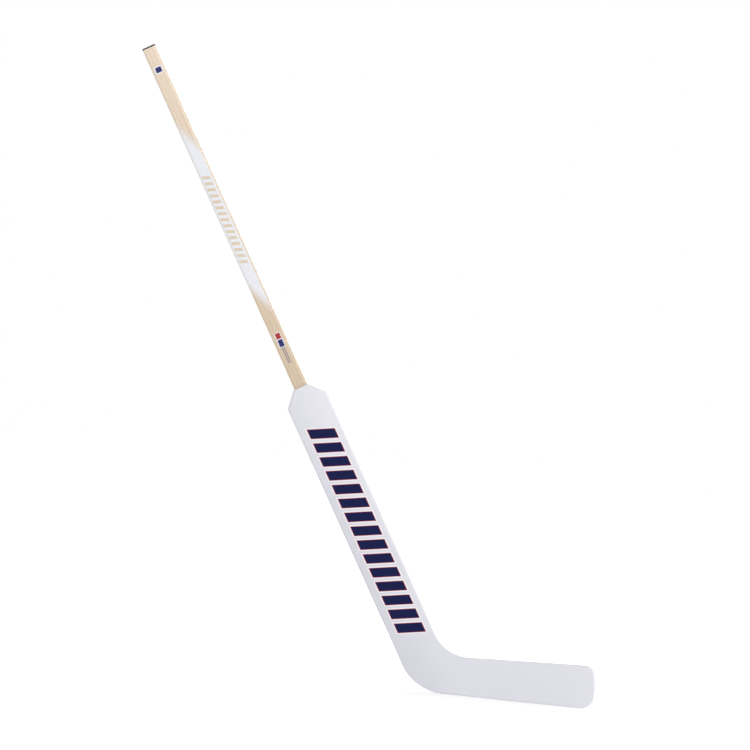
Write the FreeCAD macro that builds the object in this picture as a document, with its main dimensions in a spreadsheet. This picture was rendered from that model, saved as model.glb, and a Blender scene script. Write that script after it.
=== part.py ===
# Ice hockey goalie stick with a laminated timber shaft and a foam-cored paddle and blade.
# Upright as it is used: the sole lies on Z = 0, the blade points to +X, the shaft leans to -X and
# the playing face looks to -Y. The origin is the middle of the flat sole. Millimetres and degrees.
import FreeCAD, Part
import math
import os
import Sketcher

SIZES = [
    ("paddle_lean", 30, "lean of shaft and paddle from upright, degrees"),
    ("heel_setback", 150, "from the origin back to where the shaft axis meets the sole"),
    ("stick_length", 1448, "along the shaft axis, sole to butt"),
    ("shaft_width", 29, "shaft, across the face"),
    ("shaft_thickness", 20, "shaft, front to back"),
    ("shaft_corner", 6.5, "rounding of the shaft's long corners"),
    ("face_ply", 3, "thickness of each birch face ply"),
    ("cap_thickness", 3, "butt cap, along the shaft"),
    ("cap_bevel", 0.8, "bevelled rim of the butt cap"),
    ("paddle_length", 686, "along the shaft axis, sole to paddle top"),
    ("paddle_width", 87, "paddle, edge to edge"),
    ("shoulder_drop", 32, "height of the sloped shoulders"),
    ("shoulder_step", 1, "paddle top, past the shaft on each side"),
    ("shoulder_radius", 10, "rounding of the shoulder corners"),
    ("skin", 1, "thickness of the glass-fibre skins"),
    ("skin_joint", 170, "along the shaft axis, sole to where blade skins and paddle skins meet"),
    ("strip_width", 6, "hardwood edge strips, across"),
    ("edge_radius", 4, "sanded rounding of all outer edges"),
    ("core_bevel", 2, "bevel of the edge strips under the skins"),
    ("blade_length", 318, "from the shaft axis at the sole to the toe"),
    ("blade_heel_height", 76.7, "height of the top edge, carried back to the shaft axis"),
    ("blade_toe_height", 89, "height of the top edge, carried on to the toe"),
    ("heel_radius", 100, "outer curve from the paddle to the sole"),
    ("throat_radius", 80, "inner curve from the paddle to the top edge"),
    ("toe_bow_radius", 175, "gentle bow of the toe end"),
    ("toe_bow_height", 32, "height of the toe's furthest point"),
    ("toe_sole_radius", 26, "toe corner at the sole"),
    ("toe_top_radius", 20, "toe corner at the top edge"),
    ("toe_thickness", 14, "blade at the toe, front to back"),
    ("curve_start", 25, "from the shaft axis at the sole to where the blade starts to curve"),
    ("curve_depth", 11.5, "how far the toe is curved towards the front"),
    ("toe_strip_length", 34, "toe strip, along the blade"),
    ("heel_block_length", 95, "from the shaft axis at the sole to the end of the heel block"),
    ("tongue_thickness", 8, "tongue, front to back"),
    ("tongue_height", 28, "tongue, across its blade leg"),
    ("tongue_lift", 24, "from the sole to the tongue's blade leg"),
    ("tongue_blade_reach", 80, "from the shaft axis at the sole to the tongue's tip"),
    ("tongue_shaft_reach", 150, "along the shaft axis, sole to the tongue's upper end"),
    ("stock", 60, "spare material round the blanks before they are cut and sanded"),
]

doc = FreeCAD.newDocument("goalie_stick")
sizes = doc.addObject("Spreadsheet::Sheet", "sizes")
for row, (alias, size, meaning) in enumerate(SIZES, start=1):
    sizes.set(f"A{row}", meaning)
    sizes.set(f"B{row}", str(size))
    sizes.setAlias(f"B{row}", alias)

# Places that follow from the sizes are formulas in a sheet of their own.
places = doc.addObject("Spreadsheet::Sheet", "places")
PLACES = []


def place(alias, formula):
    """Add one worked-out value to the sheet of places."""
    PLACES.append(alias)
    row = len(PLACES)
    places.set(f"A{row}", alias)
    places.set(f"B{row}", "=" + formula)
    places.setAlias(f"B{row}", alias)


def place_point(alias, across, along):
    """Add a point given across the paddle and along its axis, as world X and Z."""
    place(alias + "_x", f"axis_x + lean_cos * ({across}) - lean_sin * ({along})")
    place(alias + "_z", f"lean_sin * ({across}) + lean_cos * ({along})")


place("lean_sin", "sin(sizes.paddle_lean)")
place("lean_cos", "cos(sizes.paddle_lean)")
place("axis_x", "-sizes.heel_setback")
place("reach", "2 * sizes.stick_length")
place("depth", "2 * sizes.stock")
place("far_heel_side", "-sizes.stick_length - sizes.stock")
place("far_front", "-depth")
place("far_back", "depth")

# The shaft's section, in its own leaning frame.
place("shaft_throat_side", "sizes.shaft_width / 2")
place("shaft_heel_side", "-shaft_throat_side")
place("shaft_back", "sizes.shaft_thickness / 2")
place("shaft_front", "-shaft_back")
place("core_ply", "shaft_back - sizes.face_ply")
place("shaft_top", "sizes.stick_length - sizes.cap_thickness")
place("shaft_free_length", "shaft_top - sizes.paddle_length")

# The paddle's shoulders and the blade's edges.
place("paddle_half", "sizes.paddle_width / 2")
place("paddle_thickness", "sizes.shaft_thickness + 2 * sizes.skin")
place("top_half", "shaft_throat_side + sizes.shoulder_step")
place("shoulder_run", "paddle_half - top_half")
place("shoulder_slope", "sqrt(sizes.shoulder_drop ^ 2 + shoulder_run ^ 2)")
place("shoulder_foot", "sizes.paddle_length - sizes.shoulder_drop")
place("top_rise", "(sizes.blade_toe_height - sizes.blade_heel_height) / sizes.blade_length")
place("top_angle", "atan(top_rise)")
place("toe_x", "axis_x + sizes.blade_length")
place("bow_x", "toe_x - sizes.toe_bow_radius")
place("far_toe_side", "toe_x + sizes.stock")

# The blade's curve in plan: front, middle and back are arcs that start square to the paddle.
place("curve_x", "axis_x + sizes.curve_start")
place("curve_run", "sizes.blade_length - sizes.curve_start")
place("front_sag", "sizes.curve_depth - (paddle_thickness - sizes.toe_thickness) / 2")
place("back_sag", "sizes.curve_depth + (paddle_thickness - sizes.toe_thickness) / 2")
place("front_radius", "(curve_run ^ 2 + front_sag ^ 2) / (2 * front_sag)")
place("back_radius", "(curve_run ^ 2 + back_sag ^ 2) / (2 * back_sag)")
place("front_centre_y", "-paddle_thickness / 2 - front_radius")
place("back_centre_y", "paddle_thickness / 2 - back_radius")
place("middle_face_y", "0")
place("middle_face_radius", "(curve_run ^ 2 + sizes.curve_depth ^ 2) / (2 * sizes.curve_depth)")
place("middle_centre_y", "-middle_face_radius")

# Three outlines, one inside the other: the sanded outside, the inside of the skins, and the core
# inside the edge strips.
INSETS = {"outer": "0", "inner": "sizes.skin", "core": "(sizes.skin + sizes.strip_width)"}
for outline, inset in INSETS.items():
    half = f"{outline}_half"
    top = f"{outline}_top_start"
    place(f"{outline}_inset", inset)
    place(half, f"paddle_half - {inset}")
    place(top, f"sizes.blade_heel_height - {inset} * sqrt(1 + top_rise ^ 2)")
    throat = f"({top} + {half} * (top_rise * lean_cos - lean_sin)) / (lean_cos + top_rise * lean_sin)"
    slope_foot = f"shoulder_foot - {inset} * (shoulder_slope - sizes.shoulder_drop) / shoulder_run"
    slope_top = f"(top_half - {inset} * (shoulder_slope - shoulder_run) / sizes.shoulder_drop)"
    paddle_top = f"sizes.paddle_length - {inset}"
    place(f"{outline}_heel_x", f"axis_x - ({half} + {inset} * lean_sin) / lean_cos")
    place_point(f"{outline}_throat", half, throat)
    place_point(f"{outline}_foot_throat_side", half, slope_foot)
    place_point(f"{outline}_top_throat_side", slope_top, paddle_top)
    place_point(f"{outline}_top_heel_side", "-" + slope_top, paddle_top)
    place_point(f"{outline}_foot_heel_side", "-" + half, slope_foot)
    place(f"{outline}_bow_radius", f"sizes.toe_bow_radius - {inset}")
    place(f"{outline}_heel_radius", f"sizes.heel_radius - {inset}")
    place(f"{outline}_throat_radius", f"sizes.throat_radius + {inset}")
    place(f"{outline}_toe_sole_radius", f"sizes.toe_sole_radius - {inset}")
    place(f"{outline}_toe_top_radius", f"sizes.toe_top_radius - {inset}")
    place(f"{outline}_shoulder_radius", f"sizes.shoulder_radius - {inset}")
    place(f"{outline}_front_y", f"{inset} - paddle_thickness / 2")
    place(f"{outline}_back_y", f"paddle_thickness / 2 - {inset}")
    place(f"{outline}_front_radius", f"front_radius + {inset}")
    place(f"{outline}_back_radius", f"back_radius - {inset}")

# The mitre between paddle and blade runs through the sharp corners of heel and throat.
place("mitre_run", "outer_throat_x - outer_heel_x")
place("mitre_length", "sqrt(mitre_run ^ 2 + outer_throat_z ^ 2)")
place("mitre_low_x", "outer_heel_x - mitre_run / mitre_length * sizes.stock")
place("mitre_low_z", "-outer_throat_z / mitre_length * sizes.stock")
place("mitre_high_x", "outer_throat_x + mitre_run / mitre_length * sizes.stock")
place("mitre_high_z", "outer_throat_z * (1 + sizes.stock / mitre_length)")

# The tongue fills the shaft's slot from side to side, then turns along the blade.
place("tongue_top", "sizes.tongue_lift + sizes.tongue_height")
place("tongue_tip_x", "axis_x + sizes.tongue_blade_reach")
place("tongue_heel_x", "axis_x - (shaft_throat_side + lean_sin * sizes.tongue_lift) / lean_cos")
place("tongue_throat_x", "axis_x + (shaft_throat_side - lean_sin * tongue_top) / lean_cos")
place_point("tongue_end_heel_side", "shaft_heel_side", "sizes.tongue_shaft_reach")
place_point("tongue_end_throat_side", "shaft_throat_side", "sizes.tongue_shaft_reach")
doc.recompute()

ACROSS = FreeCAD.Vector(0, 1, 0)
ALONG = FreeCAD.Vector(0, 0, 1)
FORWARD = FreeCAD.Vector(0, -1, 0)
TOUCH = 0.01
HALF_TURNED = math.cos(math.radians(45))


def number(alias):
    """The present value of a size or a place."""
    sheet = places if alias in PLACES else sizes
    return float(sheet.get(alias))


def source(alias):
    """The expression that reads a size or a place."""
    return ("places." if alias in PLACES else "sizes.") + alias


def bind(thing, bindings):
    """Bind properties of an object to expressions."""
    for name, expression in bindings.items():
        thing.setExpression(name, expression)


def stand_on_axis(thing):
    """Turn an object to the shaft's own axis, which leans back from the sole."""
    lean = FreeCAD.Rotation(FORWARD, number("paddle_lean"))
    thing.Placement = FreeCAD.Placement(FreeCAD.Vector(number("axis_x"), 0, 0), lean)
    bind(thing, {"Placement.Base.x": "places.axis_x", "Placement.Rotation.Angle": "sizes.paddle_lean"})


def new_body(name):
    """A body for one piece, or for a form that pieces are cut from."""
    return doc.addObject("PartDesign::Body", name)


def new_sketch(body, name, plane, lift=None):
    """A sketch on one of the body's own planes, raised along its normal by a size."""
    sketch = body.newObject("Sketcher::SketchObject", name)
    support = next(item for item in body.Origin.OriginFeatures if item.Role == plane)
    sketch.AttachmentSupport = (support, [""])
    sketch.MapMode = "FlatFace"
    if lift:
        bind(sketch, {"AttachmentOffset.Base.z": source(lift)})
    return sketch


def tie(sketch, constraint, alias):
    """Add a constraint that follows a size or a place."""
    index = sketch.addConstraint(constraint)
    bind(sketch, {f"Constraints[{index}]": source(alias)})


def pin(sketch, geometry, end, x=None, y=None):
    """Tie a point of the sketch to the places named for its coordinates."""
    for kind, alias in (("DistanceX", x), ("DistanceY", y)):
        if alias:
            tie(sketch, Sketcher.Constraint(kind, -1, 1, geometry, end, number(alias)), alias)


def join(sketch, geometry, end, other, other_end):
    """Make two ends of a profile meet."""
    sketch.addConstraint(Sketcher.Constraint("Coincident", geometry, end, other, other_end))


def line(sketch, start, finish):
    """A line between two first guesses, which constraints then set."""
    return sketch.addGeometry(Part.LineSegment(FreeCAD.Vector(*start, 0), FreeCAD.Vector(*finish, 0)))


def arc(sketch, centre, radius, start, finish):
    """An arc with its centre and radius tied; its ends lie towards two first guesses."""
    x, y = (number(alias) for alias in centre)
    circle = Part.Circle(FreeCAD.Vector(x, y, 0), ALONG, number(radius))
    angles = [math.atan2(guess[1] - y, guess[0] - x) for guess in (start, finish)]
    geometry = sketch.addGeometry(Part.ArcOfCircle(circle, *angles))
    pin(sketch, geometry, 3, *centre)
    tie(sketch, Sketcher.Constraint("Radius", geometry, number(radius)), radius)
    return geometry


def polygon(sketch, corners):
    """A closed polygon whose corners are tied to pairs of places."""
    points = [(number(x), number(y)) for x, y in corners]
    sides = [line(sketch, point, points[(index + 1) % len(points)])
             for index, point in enumerate(points)]
    for index, side in enumerate(sides):
        join(sketch, side, 2, sides[(index + 1) % len(sides)], 1)
        pin(sketch, side, 1, *corners[index])


def pad(body, sketch, length, symmetric=False, downward=False):
    """Extrude a sketch by a size or place."""
    feature = body.newObject("PartDesign::Pad", sketch.Name + "_pad")
    feature.Profile = sketch
    feature.Reversed = downward
    if symmetric:
        feature.SideType = "Symmetric"
    bind(feature, {"Length": source(length)})
    doc.recompute()
    return feature


def pocket(body, sketch, length):
    """Cut a sketch through the body, half the length each way, and see that it cuts."""
    before = body.Shape.Volume
    feature = body.newObject("PartDesign::Pocket", sketch.Name + "_pocket")
    feature.Profile = sketch
    feature.SideType = "Symmetric"
    bind(feature, {"Length": source(length)})
    doc.recompute()
    if body.Shape.Volume >= before:
        raise RuntimeError(f"{feature.Name} cuts nothing")


def round_edges(body, name, edges, radius):
    """Round the listed edges of the body's last feature."""
    base = body.Tip
    feature = body.newObject("PartDesign::Fillet", name)
    feature.Base = (base, [f"Edge{index + 1}" for index in edges])
    bind(feature, {"Radius": source(radius)})
    doc.recompute()


def bevel_edges(body, name, edges, size):
    """Bevel the listed edges of the body's last feature."""
    base = body.Tip
    feature = body.newObject("PartDesign::Chamfer", name)
    feature.Base = (base, [f"Edge{index + 1}" for index in edges])
    bind(feature, {"Size": source(size)})
    doc.recompute()


def straight_edges(shape, direction, keep):
    """Indices of the straight edges along a direction whose middle point is wanted."""
    return [index for index, edge in enumerate(shape.Edges)
            if edge.Curve.TypeId == "Part::GeomLine"
            and edge.Curve.Direction.cross(direction).Length < TOUCH
            and keep(edge.CenterOfMass)]


def is_broad(face):
    """Whether a face looks to the front or the back of the stick."""
    u, v = face.Surface.parameter(face.CenterOfMass)
    return abs(face.normalAt(u, v).y) > HALF_TURNED


def rim_edges(shape):
    """Indices of the edges where a broad face meets a narrow side."""
    return [index for index, edge in enumerate(shape.Edges)
            if [is_broad(face) for face in shape.ancestorsOfType(edge, Part.Face)].count(True) == 1]


def outline_sketch(body, outline):
    """Sharp-cornered outline of paddle and blade, with the toe as an arc."""
    sketch = new_sketch(body, f"{outline}_outline", "XZ_Plane")
    names = ("throat", "foot_throat_side", "top_throat_side", "top_heel_side", "foot_heel_side")
    corners = [(f"{outline}_{name}_x", f"{outline}_{name}_z") for name in names]
    corners.append((f"{outline}_heel_x", f"{outline}_inset"))
    points = [(number(x), number(z)) for x, z in corners]
    sides = [line(sketch, first, second) for first, second in zip(points, points[1:])]
    for index, side in enumerate(sides):
        pin(sketch, side, 1, *corners[index])
        if index:
            join(sketch, sides[index - 1], 2, side, 1)
    pin(sketch, sides[-1], 2, *corners[-1])
    toe_bottom = (number("toe_x"), number(f"{outline}_inset"))
    toe_top = (number("toe_x"), number("blade_toe_height"))
    sole = line(sketch, points[-1], toe_bottom)
    top = line(sketch, points[0], toe_top)
    join(sketch, sides[-1], 2, sole, 1)
    join(sketch, sides[0], 1, top, 1)
    sketch.addConstraint(Sketcher.Constraint("Horizontal", sole))
    tie(sketch, Sketcher.Constraint("Angle", top, math.radians(number("top_angle"))), "top_angle")
    bow = arc(sketch, ("bow_x", "toe_bow_height"), f"{outline}_bow_radius", toe_bottom, toe_top)
    join(sketch, sole, 2, bow, 1)
    join(sketch, top, 2, bow, 2)
    return sketch


def outline_form(outline, corners):
    """Prism of an outline, with the named corners rounded in plan."""
    body = new_body(f"{outline}_form")
    pad(body, outline_sketch(body, outline), "depth", symmetric=True)
    throat = FreeCAD.Vector(number(f"{outline}_throat_x"), 0, number(f"{outline}_throat_z"))
    heel = FreeCAD.Vector(number(f"{outline}_heel_x"), 0, number(f"{outline}_inset"))
    chosen = {
        "heel": lambda point: point.distanceToPoint(heel) < TOUCH,
        "throat": lambda point: point.distanceToPoint(throat) < TOUCH,
        "toe_sole": lambda point: point.x > number("bow_x") and point.z < number("toe_bow_height"),
        "toe_top": lambda point: point.x > number("bow_x") and point.z > number("toe_bow_height"),
        "shoulder": lambda point: point.z > number(f"{outline}_foot_heel_side_z") - TOUCH,
    }
    for corner in corners:
        edges = straight_edges(body.Shape, ACROSS, chosen[corner])
        round_edges(body, f"{outline}_{corner}_rounding", edges, f"{outline}_{corner}_radius")
    return body


def curved_profile(body, name, face, centre, radius, limit):
    """Closed plan profile between a face of the stick and a straight limit outside it."""
    sketch = new_sketch(body, name, "XY_Plane")
    heel_side, toe_side = number("far_heel_side"), number("far_toe_side")
    near, far = number(face), number(limit)
    bend = (number("curve_x"), near)
    flat = line(sketch, (heel_side, near), bend)
    curve = arc(sketch, ("curve_x", centre), radius, (toe_side, near), bend)
    toe_end = line(sketch, (toe_side, near), (toe_side, far))
    outside = line(sketch, (toe_side, far), (heel_side, far))
    heel_end = line(sketch, (heel_side, far), (heel_side, near))
    pin(sketch, flat, 1, "far_heel_side", face)
    pin(sketch, flat, 2, "curve_x")
    pin(sketch, outside, 1, "far_toe_side", limit)
    pin(sketch, outside, 2, "far_heel_side", limit)
    sketch.addConstraint(Sketcher.Constraint("Vertical", toe_end))
    join(sketch, flat, 2, curve, 2)
    join(sketch, curve, 1, toe_end, 1)
    join(sketch, toe_end, 2, outside, 1)
    join(sketch, outside, 2, heel_end, 1)
    join(sketch, heel_end, 2, flat, 1)
    return sketch


def curved_form(outline):
    """Paddle and blade as one shape: rounded outline and curved faces, edges still sharp."""
    body = outline_form(outline, ("heel", "throat", "toe_sole", "toe_top", "shoulder"))
    for side in ("front", "back"):
        waste = curved_profile(body, f"{outline}_{side}_waste", f"{outline}_{side}_y",
                               f"{side}_centre_y", f"{outline}_{side}_radius", f"far_{side}")
        pocket(body, waste, "reach")
    return body


def front_half():
    """Everything in front of the middle surface, where the front and back skins meet."""
    body = new_body("front_half")
    profile = curved_profile(body, "front_half_plan", "middle_face_y", "middle_centre_y",
                             "middle_face_radius", "far_front")
    pad(body, profile, "reach", symmetric=True)
    return body


def blade_side():
    """Everything on the blade's side of the mitre at the heel."""
    body = new_body("blade_side")
    sketch = new_sketch(body, "mitre", "XZ_Plane")
    polygon(sketch, [("mitre_low_x", "mitre_low_z"), ("far_toe_side", "mitre_low_z"),
                     ("far_toe_side", "mitre_high_z"), ("mitre_high_x", "mitre_high_z")])
    pad(body, sketch, "depth", symmetric=True)
    return body


def shaft_section(body, name, lift):
    """The shaft's rectangular section, square to its axis."""
    sketch = new_sketch(body, name, "XY_Plane", lift)
    polygon(sketch, [("shaft_heel_side", "shaft_front"), ("shaft_throat_side", "shaft_front"),
                     ("shaft_throat_side", "shaft_back"), ("shaft_heel_side", "shaft_back")])
    return sketch


def shaft_form():
    """The glued-up shaft: long corners rounded above the paddle, left square inside it."""
    body = new_body("shaft_form")
    pad(body, shaft_section(body, "free_section", "paddle_length"), "shaft_free_length")
    corners = straight_edges(body.Shape, ALONG, lambda point: True)
    round_edges(body, "shaft_rounding", corners, "shaft_corner")
    pad(body, shaft_section(body, "buried_section", "paddle_length"), "paddle_length", downward=True)
    stand_on_axis(body)
    return body


def butt_cap():
    """Thin cap with the shaft's section and a bevelled rim."""
    body = new_body("butt_cap")
    pad(body, shaft_section(body, "cap_section", "shaft_top"), "cap_thickness")
    corners = straight_edges(body.Shape, ALONG, lambda point: True)
    round_edges(body, "cap_corners", corners, "shaft_corner")
    rim = [index for index, edge in enumerate(body.Shape.Edges)
           if edge.CenterOfMass.z > number("stick_length") - TOUCH]
    bevel_edges(body, "cap_rim", rim, "cap_bevel")
    stand_on_axis(body)
    return body


def blade_tongue():
    """Flat angled tongue: one leg in the shaft's slot, the other in the heel block."""
    body = new_body("blade_tongue")
    sketch = new_sketch(body, "tongue_outline", "XZ_Plane")
    polygon(sketch, [("tongue_end_heel_side_x", "tongue_end_heel_side_z"),
                     ("tongue_heel_x", "tongue_lift"), ("tongue_tip_x", "tongue_lift"),
                     ("tongue_tip_x", "tongue_top"), ("tongue_throat_x", "tongue_top"),
                     ("tongue_end_throat_side_x", "tongue_end_throat_side_z")])
    pad(body, sketch, "tongue_thickness", symmetric=True)
    return body


def zone(name, corner, spans, leaning=False):
    """A box, given by expressions, that picks out a stretch of a form."""
    box = doc.addObject("Part::Box", name)
    x, y, z = corner
    if leaning:
        stand_on_axis(box)
        x, z = (f"places.axis_x + places.lean_cos * ({x}) - places.lean_sin * ({z})",
                f"places.lean_sin * ({x}) + places.lean_cos * ({z})")
    bind(box, {"Placement.Base.x": x, "Placement.Base.y": y, "Placement.Base.z": z})
    bind(box, dict(zip(("Length", "Width", "Height"), spans)))
    return box


def common(name, base, tool):
    """What two forms share."""
    result = doc.addObject("Part::Common", name)
    result.Base = base
    result.Tool = tool
    return result


def cut(name, base, *tools):
    """What is left of a form without the tools."""
    for index, tool in enumerate(tools, start=1):
        result = doc.addObject("Part::Cut", name if index == len(tools) else f"{name}_stage_{index}")
        result.Base = base
        result.Tool = tool
        base = result
    return base


def split(base, form, inside, outside):
    """Part a form in two along the face of another; both halves are pieces."""
    return [common(inside, base, form), cut(outside, base, form)]


def shaft_plies(timber):
    """The four laminations of the shaft, front to back."""
    stock = "sizes.stock"
    layers = [
        ("shaft_face_ply_front", f"places.shaft_front - {stock}", f"sizes.face_ply + {stock}"),
        ("shaft_core_ply_front", "-places.core_ply", "places.core_ply"),
        ("shaft_core_ply_back", "0", "places.core_ply"),
        ("shaft_face_ply_back", "places.core_ply", f"sizes.face_ply + {stock}"),
    ]
    across = f"sizes.shaft_width + 2 * {stock}"
    along = f"sizes.stick_length + 2 * {stock}"
    plies = []
    for name, start, thickness in layers:
        corner = (f"places.shaft_heel_side - {stock}", start, f"-{stock}")
        blank = zone(name + "_blank", corner, (across, thickness, along), leaning=True)
        plies.append(common(name, timber, blank))
    return plies


def assemble():
    """All pieces of the stick."""
    outer = curved_form("outer")
    round_edges(outer, "sanding", rim_edges(outer.Shape), "edge_radius")
    inner = curved_form("inner")
    bevel_edges(inner, "core_edges", rim_edges(inner.Shape), "core_bevel")
    core = outline_form("core", ("heel", "throat", "toe_sole", "toe_top"))
    blade = blade_side()
    front = front_half()
    shaft = shaft_form()
    tongue = blade_tongue()

    full_depth = ("-places.depth", "2 * places.depth")
    heel_half = zone("heel_half", ("-places.reach", full_depth[0], "-places.reach"),
                     ("places.reach", full_depth[1], "2 * places.reach"), leaning=True)
    shoulders = zone("shoulders", ("-places.reach", full_depth[0], "places.shoulder_foot"),
                     ("2 * places.reach", full_depth[1], "places.reach"), leaning=True)
    below_joint = zone("below_joint", ("-places.reach", full_depth[0], "-places.reach"),
                       ("2 * places.reach", full_depth[1], "places.reach + sizes.skin_joint"), leaning=True)
    toe_end = zone("toe_end", ("places.toe_x - sizes.toe_strip_length", full_depth[0], "-places.reach"),
                   ("places.reach", full_depth[1], "2 * places.reach"))
    lower_half = zone("lower_half", ("-places.reach", full_depth[0], "-places.reach"),
                      ("2 * places.reach", full_depth[1], "places.reach + sizes.blade_heel_height / 2"))
    heel_end = zone("heel_end", ("-places.reach", full_depth[0], "-places.reach"),
                    ("places.reach + places.axis_x + sizes.heel_block_length", full_depth[1],
                     "2 * places.reach"))

    pieces = [butt_cap(), tongue]
    pieces += shaft_plies(cut("shaft_timber", shaft, blade, tongue))

    skins = cut("skins", outer, inner, shaft)
    pieces += split(cut("paddle_skins", skins, below_joint), front,
                    "paddle_skin_front", "paddle_skin_back")
    pieces += split(common("blade_skins", skins, below_joint), front,
                    "blade_skin_front", "blade_skin_back")

    strips = cut("edge_strips", inner, core)
    paddle_strips = cut("paddle_strips", strips, blade, shaft)
    pieces += split(common("shoulder_strips", paddle_strips, shoulders), heel_half,
                    "shoulder_strip_heel_side", "shoulder_strip_throat_side")
    pieces += split(cut("side_strips", paddle_strips, shoulders), heel_half,
                    "paddle_edge_strip_heel_side", "paddle_edge_strip_throat_side")
    blade_strips = common("blade_strips", strips, blade)
    pieces.append(common("blade_toe_strip", blade_strips, toe_end))
    pieces += split(cut("long_strips", blade_strips, toe_end), lower_half,
                    "blade_sole_strip", "blade_top_strip")

    filling = cut("filling", common("core_space", inner, core), tongue)
    pieces += split(cut("paddle_filling", filling, blade, shaft), heel_half,
                    "paddle_foam_heel_side", "paddle_foam_throat_side")
    pieces += split(common("blade_filling", filling, blade), heel_end, "blade_heel_block", "blade_foam")
    doc.recompute()
    return pieces


def write(pieces):
    """Check every object and every piece, then write one file for each piece."""
    for thing in doc.Objects:
        if {"Invalid", "Error"} & set(thing.State):
            raise RuntimeError(f"{thing.Name} failed: {thing.State}")
    for piece in pieces:
        if piece.Shape.isNull() or not piece.Shape.isValid() or len(piece.Shape.Solids) != 1:
            raise RuntimeError(f"{piece.Label} is not one sound solid")
    os.makedirs("parts", exist_ok=True)
    for piece in pieces:
        piece.Shape.exportStep(f"parts/{piece.Label}.step")


write(assemble())
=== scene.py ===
"""Looks of an ice hockey goalie stick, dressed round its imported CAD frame.

The stick stands as in the frame: sole on Z = 0, blade to +X, shaft leaning to -X, playing face to -Y.
Sizes are written in millimetres and become metres when an object is made.
"""

import logging
import math
from collections.abc import Iterable, Sequence
from dataclasses import dataclass, field
from enum import Enum
from typing import Any

import bmesh
import bpy
from bmesh.types import BMesh, BMFace, BMVert
from bpy.types import Material, Node, NodeSocket, NodeTree, Object
from mathutils import Matrix, Vector
from mathutils.bvhtree import BVHTree


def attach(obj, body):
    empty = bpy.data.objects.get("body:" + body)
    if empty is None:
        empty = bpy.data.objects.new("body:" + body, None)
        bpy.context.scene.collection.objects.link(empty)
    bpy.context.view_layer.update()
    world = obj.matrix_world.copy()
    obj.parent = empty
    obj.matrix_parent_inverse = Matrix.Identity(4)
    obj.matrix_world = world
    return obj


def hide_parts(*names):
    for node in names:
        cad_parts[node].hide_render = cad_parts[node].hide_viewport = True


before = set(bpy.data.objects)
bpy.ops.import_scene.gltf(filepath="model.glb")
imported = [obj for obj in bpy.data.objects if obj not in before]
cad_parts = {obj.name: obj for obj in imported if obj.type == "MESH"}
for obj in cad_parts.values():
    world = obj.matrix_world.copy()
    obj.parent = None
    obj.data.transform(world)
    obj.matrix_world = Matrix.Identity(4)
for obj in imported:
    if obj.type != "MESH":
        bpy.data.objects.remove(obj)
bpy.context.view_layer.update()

# Two ends of a range, and three values along X, Y and Z.
Span = tuple[float, float]
Triple = tuple[float, float, float]
MM = 0.001
BODY = "root"
UP = Vector((0.0, 0.0, 1.0))
ACROSS_FACE = Vector((0.0, 1.0, 0.0))
WHITE = (1.0, 1.0, 1.0, 1.0)
# Millimetres within which points are one, or lie on the plane of a division or of a clean cut.
WELD = 0.001
SNAP = 0.35
CLOSE_SNAP = 0.0001
# Edges sharper than these are shaded sharp, and rounded as rims.
SHARP_ANGLE = math.radians(50)
RIM_ANGLE = math.radians(60)
log = logging.getLogger("goalie_stick")


def srgb(code: str) -> tuple[float, float, float, float]:
    """Turn an sRGB hex colour into the linear colour that shaders take.

    Args:
        code: Colour such as "#e6d4bd".

    Returns:
        Linear red, green and blue, with alpha 1.
    """
    parts = [int(code[start:start + 2], 16) / 255 for start in (1, 3, 5)]
    linear = [part / 12.92 if part <= 0.04045 else ((part + 0.055) / 1.055) ** 2.4 for part in parts]
    return (*linear, 1.0)


def feed(tree: NodeTree, node: Node, inputs: dict[int | str, Any]) -> None:
    """Set or link inputs of a shader node.

    Args:
        tree: Node tree of the material or world.
        node: Node to feed.
        inputs: Values by input index or name; a node or socket is linked instead of copied.
    """
    for key, value in inputs.items():
        named = [socket for socket in node.inputs if socket.enabled and socket.name == key]
        target = node.inputs[key] if isinstance(key, int) else named[0]
        if isinstance(value, Node):
            value = next(socket for socket in value.outputs if socket.enabled)
        if isinstance(value, NodeSocket):
            tree.links.new(value, target)
        else:
            target.default_value = value


def add_node(tree: NodeTree, kind: str, inputs: dict[int | str, Any] | None = None,
             **settings: Any) -> Node:
    """Add a shader node with its settings, values and links.

    Args:
        tree: Node tree of the material or world.
        kind: Node type without its ShaderNode prefix.
        inputs: Values and links, as feed takes them.
        settings: Node properties, set before the inputs.

    Returns:
        The new node.
    """
    node = tree.nodes.new("ShaderNode" + kind)
    for name, value in settings.items():
        setattr(node, name, value)
    feed(tree, node, inputs or {})
    return node


def maths(tree: NodeTree, operation: str, *values: Any) -> Node:
    """Work on numbers, nodes or sockets, taken in order."""
    return add_node(tree, "Math", dict(enumerate(values)), operation=operation)


def blend(tree: NodeTree, share: Any, under: Any, over: Any, way: str = "MIX") -> Node:
    """Lay a share of one colour over another; each is a hex code, a node or a socket."""
    low, top = (srgb(paint) if isinstance(paint, str) else paint for paint in (under, over))
    return add_node(tree, "Mix", {"Factor": share, "A": low, "B": top}, data_type="RGBA", blend_type=way)


def ramp(tree: NodeTree, value: Any, span: Span = (0.0, 1.0), levels: Sequence[Any] = (0.0, 1.0),
         smooth: bool = False) -> Node:
    """Go from one level to another as a value goes through a span, evenly or smoothly."""
    (start, stop), (low, high) = span, levels
    return add_node(tree, "MapRange", {
        "Value": value, "From Min": start, "From Max": stop, "To Min": low, "To Max": high},
        interpolation_type="SMOOTHSTEP" if smooth else "LINEAR")


def stretched(tree: NodeTree, place: Node, sizes: Triple) -> Node:
    """Measure coordinates in the sizes of a pattern across, through and along the shaft."""
    scale = tuple(1 / size for size in sizes)
    return add_node(tree, "Mapping", {"Vector": place, "Scale": scale}, vector_type="POINT")


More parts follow.
